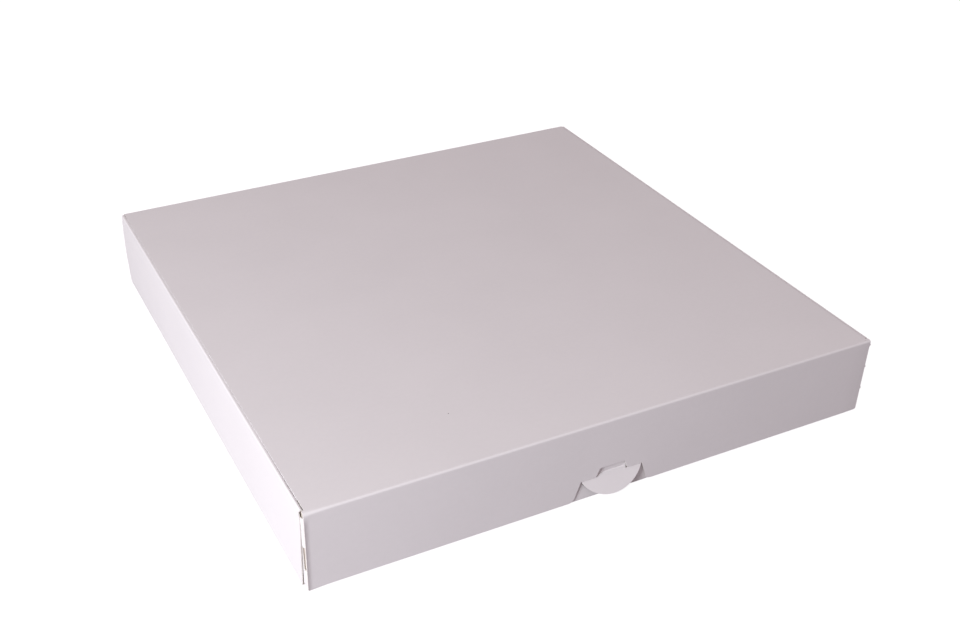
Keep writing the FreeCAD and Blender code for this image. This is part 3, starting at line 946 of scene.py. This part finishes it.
def tab_loop(grow):
    """From the right end of the neck's crease, round the head, to the left end."""
    depth = TAB_LENGTH - NECK_LENGTH
    radius = (HEAD_HALF ** 2 + depth ** 2) / (2 * depth)
    shoulder = on_front_wall(TAB_CREASE) + NECK_LENGTH
    tip = on_front_wall(TAB_CREASE) + TAB_LENGTH
    reach = math.degrees(math.asin(HEAD_HALF / radius))
    head = arc_points((0, tip - radius), radius + grow, 90 - reach, 90 + reach, HEAD_PARTS)
    head = [(x, max(v, shoulder)) for x, v in head]
    loop = [(NECK_HALF + grow, on_front_wall(TAB_CREASE)), (NECK_HALF + grow, shoulder - grow),
            (head[0][0] + grow, shoulder - grow), *head,
            (head[-1][0] - grow, shoulder - grow),
            (-NECK_HALF - grow, shoulder - grow), (-NECK_HALF - grow, on_front_wall(TAB_CREASE))]
    return [(TAB_MIDDLE + x, v) for x, v in loop]


def tab_slit():
    """The cut round the tab: once round outside it, and back along its own edge."""
    inner = tab_loop(0.0)
    inner = inner[:2] + inner[3:-3] + inner[-2:]     # two points of the head lie on the shoulders
    return tab_loop(KERF) + inner[::-1]


# %% Creases of the tray
BASE_CREASE_END, WALL_CREASE_END = 148, 150
EAR_CREASE_FOOT = 0.8
BESIDE_TAB = (-1.4, -0.9, 0.8, 1.2)      # more lines along the lock tab's crease, for its groove


def tab_line(away):
    """A line across the lock tab's neck, this far from its crease."""
    v = on_front_wall(TAB_CREASE) + away
    return (TAB_MIDDLE - NECK_HALF, v), (TAB_MIDDLE + NECK_HALF, v)


tray_creases = [
    *crease_lines(SIDE_CORNER, BASE_BEND, -BASE_CREASE_END, BASE_CREASE_END, across=True,
                  turn=QUARTER + SIDE_LEAN),
    *crease_lines(ROLL_CORNER, ROLL_BEND, -WALL_CREASE_END, WALL_CREASE_END, across=True),
    *crease_lines(INNER_CORNER, INNER_BEND, -WALL_CREASE_END, WALL_CREASE_END, across=True,
                  turn=QUARTER - SIDE_LEAN),
    *crease_lines(EAR_CORNER, EAR_BEND, on_front_wall(TOP), on_front_wall(EAR_CREASE_FOOT),
                  across=True),
    *crease_lines(EAR_CORNER, EAR_BEND, on_back_wall(EAR_CREASE_FOOT), on_back_wall(TOP),
                  across=True),
    *crease_lines(BACK_CORNER, BASE_BEND, -END_WIDTH, END_WIDTH, across=False),
    *[((a, -c), (b, -d)) for (a, c), (b, d) in
      crease_lines(FRONT_CORNER, BASE_BEND, -END_WIDTH, END_WIDTH, across=False)],
    *crease_lines(on_front_wall(TAB_CREASE), TAB_BEND, TAB_MIDDLE - NECK_HALF,
                  TAB_MIDDLE + NECK_HALF, across=False, turn=TAB_TILT),
    *[tab_line(away) for away in BESIDE_TAB],
]
print("tray:", len(tray_creases), "crease lines")

# %% Cut the tray, and mark its panels
tray, flat = cut_board("tray_board", tray_outline, [*slots, tab_slit()], tray_creases)
x, v = flat[:, 0], flat[:, 1]
MARGIN = 1.0        # a panel is marked from a little before its crease
EAR_START = EAR_LOW - 0.1

in_tab = inside(flat, tab_loop(KERF / 2))
at_side = (np.abs(v) < INNER_END + MARGIN) & (np.abs(x) > SIDE_CORNER - MARGIN)
beyond_base = (v < on_front_wall(EAR_START)) | (v > on_back_wall(EAR_START))
store(tray.data, "lock_tab", in_tab)
store(tray.data, "side_wall", at_side)
store(tray.data, "ear", beyond_base & (np.abs(x) > EAR_CORNER - 2 * MARGIN))
store(tray.data, "strip", ~at_side)
print("points in the lock tab:", int(in_tab.sum()))

# %% A groove along the lock tab's crease, a left wall that bows out to the back, a soft left corner
BOW = 0.6
SOFT_WALL, SOFT_FROM, SOFT_TO = 0.68, 95, 138    # extra radius of the inner crease, and where it grows

on_crease = np.abs(v - on_front_wall(TAB_CREASE)) < GROOVE_HALF
groove = on_crease & (np.abs(x - TAB_MIDDLE) < NECK_HALF + 0.01)
up = np.clip((-x - on_side_wall(0)) / TOP, 0, 1)
bow = np.sin(math.pi * up) * ease(v, 0, HALF_DEPTH)
store(tray.data, "relief", GROOVE_DEPTH * groove - BOW * bow)
store(tray.data, "soft_side", SOFT_WALL * (x < 0) * ease(-v, SOFT_FROM, SOFT_TO))
fold_board(tray)
finish_board(tray, "tray", "tray")

# %% [markdown]
# ## The lid
#
# The top panel, with a dust flap down each side. The dust flaps stand inside the roll-over walls and
# keep crumbs in. At its four corners the panel is cut back to the crease, so that the roll-over walls
# can pass.

# %% Lid
LID_FRONT_SEAM = -HALF_DEPTH + 4.0
LID_BACK_SEAM = HALF_DEPTH - 3.0
DUST_END, DUST_TAPER, DUST_PLAY = HALF_DEPTH - 8.0, 10.0, 0.4
LID_SHOULDER = LID_HALF - 0.10                   # the panel's side where it has no dust flap

dust_foot, dust_start = on_dust_flap(DUST_FLAP_FOOT), on_dust_flap(LID_LEVEL - DUST_BEND)
lid_outline = both_sides([
    (LID_SHOULDER, on_lid(LID_BACK_SEAM)),
    (LID_SHOULDER, on_lid(DUST_END + DUST_PLAY)),
    (dust_start, on_lid(DUST_END)),
    (dust_foot, on_lid(DUST_END - DUST_TAPER)),
    (dust_foot, on_lid(-DUST_END + DUST_TAPER)),
    (dust_start, on_lid(-DUST_END)),
    (LID_SHOULDER, on_lid(-DUST_END - DUST_PLAY)),
    (LID_SHOULDER, on_lid(LID_FRONT_SEAM)),
])
lid, flat = cut_board("lid_board", lid_outline, (), crease_lines(
    DUST_CORNER, DUST_BEND, on_lid(DUST_END), on_lid(-DUST_END), across=True))
store(lid.data, "dust_flap", np.abs(on_lid(0) - flat[:, 1]) < DUST_END + DUST_PLAY / 2)
mark_strip(lid.data, flat)
fold_board(lid)
finish_board(lid, "lid", "lid")

# %% [markdown]
# ## The front flap
#
# A plain tall flap with a cut-out for the lock tab's head and a notch above it for the neck. It is free
# on three sides, so it shows the most handling: its left end curls out, its right end turns in, its
# foot lifts a little towards the right, and the right edge keeps the torn stubs of the bridges that
# held the blank in its sheet.

# %% Front flap
FLAP_SEAM = TOP - 4.5
FLAP_CORNER, MOUTH_CORNER = 1.0, 3.0
CUT_MIDDLE = 1.25
CUT_APEX, CUT_MOUTH, CUT_TOP = 16.45, 19.9, 11.42
NOTCH_FOOT, NOTCH_TOP_HALF, NOTCH_TOP, NOTCH_CORNER = 8.45, 6.6, 16.1, 0.8
MOUTH_LIFT, RIGHT_LIFT = 0.1, 0.4        # how far the foot is cut higher there
STUB, STUB_FOOT, STUB_TIP = 0.45, 0.7, 0.4
LOW_STUBS, HIGH_STUB = (14.0, 27.0), 40.0
CURL_PARTS = 6                           # edges across the curl of the left end
print(f"cut-out {2 * CUT_APEX:.1f} mm wide at the top, {2 * CUT_MOUTH:.1f} mm at the foot")


def rounded(before, corner, after, radius, parts=7):
    """The points of a fillet between two edges that meet at a corner."""
    a, b = Vector(before) - Vector(corner), Vector(after) - Vector(corner)
    half = a.angle(b) / 2
    reach = radius / math.tan(half)
    halfway = (a.normalized() + b.normalized()).normalized()
    middle = Vector(corner) + halfway * (radius / math.sin(half))
    first = Vector(corner) + a.normalized() * reach - middle
    last = Vector(corner) + b.normalized() * reach - middle
    turn = first.angle_signed(last)
    points = []
    for i in range(parts + 1):
        angle = -turn * i / parts
        points.append((middle.x + first.x * math.cos(angle) - first.y * math.sin(angle),
                       middle.y + first.x * math.sin(angle) + first.y * math.cos(angle)))
    return points


def rounded_loop(corners):
    """A closed loop from (x, z, radius) corners."""
    loop = []
    for i, (x, z, radius) in enumerate(corners):
        before, after = corners[i - 1][:2], corners[(i + 1) % len(corners)][:2]
        loop += rounded(before, (x, z), after, radius) if radius else [(x, z)]
    return loop


def stub(x, place):
    """The torn stub of a bridge that held the blank in its sheet while it was die cut."""
    return [(x, place - STUB_FOOT), (x + STUB, place - STUB_TIP),
            (x + STUB, place + STUB_TIP), (x, place + STUB_FOOT)]


cut_out = [
    (NOTCH_TOP_HALF, NOTCH_TOP, NOTCH_CORNER),
    (NOTCH_FOOT, CUT_TOP, 0),
    (CUT_APEX, CUT_TOP, 0),
    (CUT_MOUTH, FLAP_FOOT + MOUTH_LIFT, MOUTH_CORNER),
]
flap_outline = rounded_loop([
    *[(CUT_MIDDLE + x, z, radius) for x, z, radius in cut_out],
    (FLAP_RIGHT, FLAP_FOOT + RIGHT_LIFT, FLAP_CORNER),
    *[(x, z, 0) for place in LOW_STUBS for x, z in stub(FLAP_RIGHT, place)],
    (FLAP_RIGHT, FLAP_SEAM, 0),
    (FLAP_LEFT, FLAP_SEAM, 0), (FLAP_LEFT, FLAP_FOOT, FLAP_CORNER),
    *[(CUT_MIDDLE - x, z, radius) for x, z, radius in reversed(cut_out)],
])


def end_lines(low, high):
    """Lines along the flap's two ends, close together where the board curls."""
    curled = [FLAP_LEFT + CURL_WIDTH * i / CURL_PARTS for i in range(1, CURL_PARTS + 1)]
    turned = range(TURN_START + 1, TURN_START + TURN_WIDTH, 2)
    return [((x, low), (x, high)) for x in (*curled, *turned)]


flap, flat = cut_board("front_flap_board", [(x, on_flap(z)) for x, z in flap_outline], (),
                       end_lines(on_flap(FLAP_SEAM), on_flap(FLAP_FOOT + 1)))
mark_strip(flap.data, flat)
fold_board(flap)
finish_board(flap, "front_flap", "front_flap")

# %% [markdown]
# ## The two folds that move
#
# The lid and the front flap turn on creases. A narrow strip of board crosses each crease, and it bends
# as they open: one end stays with one panel, the other end with the next. The front strip widens past
# the ends of the side walls, where the flap is wider than the lid.


# %% Back fold
def fold_strip(name, outline, corner, bend, turn=QUARTER, ends=()):
    left, right = min(x for x, _ in outline), max(x for x, _ in outline)
    creases = crease_lines(corner, bend, left, right, across=False, turn=turn)
    strip, flat = cut_board(name, outline, (), [*creases, *ends])
    mark_strip(strip.data, flat)
    fold_board(strip)
    return finish_board(strip, None)


back_outline = box_loop(-LID_SHOULDER, LID_SHOULDER, on_back_wall(BACK_SEAM), on_lid(LID_BACK_SEAM))
back_fold = fold_strip("back_fold", back_outline, HINGE_CORNER, HINGE_BEND)
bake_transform(back_fold, "tray", "lid",
         start=Vector((0, HALF_DEPTH, TOP - 2.0)) * MM, end=Vector((0, HALF_DEPTH - 2.0, TOP)) * MM)

# %% Front fold: as wide as the lid behind, as wide as the flap in front
WIDENS, WIDENED = HALF_DEPTH - 0.65, HALF_DEPTH - 0.15   # it widens between these, past the walls

past_walls, widened = on_lid(-WIDENS), on_lid(-WIDENED)
front_outline = [
    (LID_SHOULDER, on_lid(LID_FRONT_SEAM)), (LID_SHOULDER, past_walls), (FLAP_RIGHT, widened),
    *stub(FLAP_RIGHT, on_flap(HIGH_STUB)), (FLAP_RIGHT, on_flap(FLAP_SEAM)),
    (FLAP_LEFT, on_flap(FLAP_SEAM)), (FLAP_LEFT, widened), (-LID_SHOULDER, past_walls),
    (-LID_SHOULDER, on_lid(LID_FRONT_SEAM)),
]
front_fold = fold_strip("front_fold", front_outline, LID_CORNER, FRONT_BEND, QUARTER + LEAN,
                        end_lines(on_flap(HIGH_STUB + 1), on_flap(FLAP_SEAM)))
front_edge = HALF_DEPTH + LID_REACH
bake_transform(front_fold, "lid", "front_flap",
         start=Vector((0, -front_edge + 4.0, TOP)) * MM, end=Vector((0, -front_edge, TOP - 4.0)) * MM)
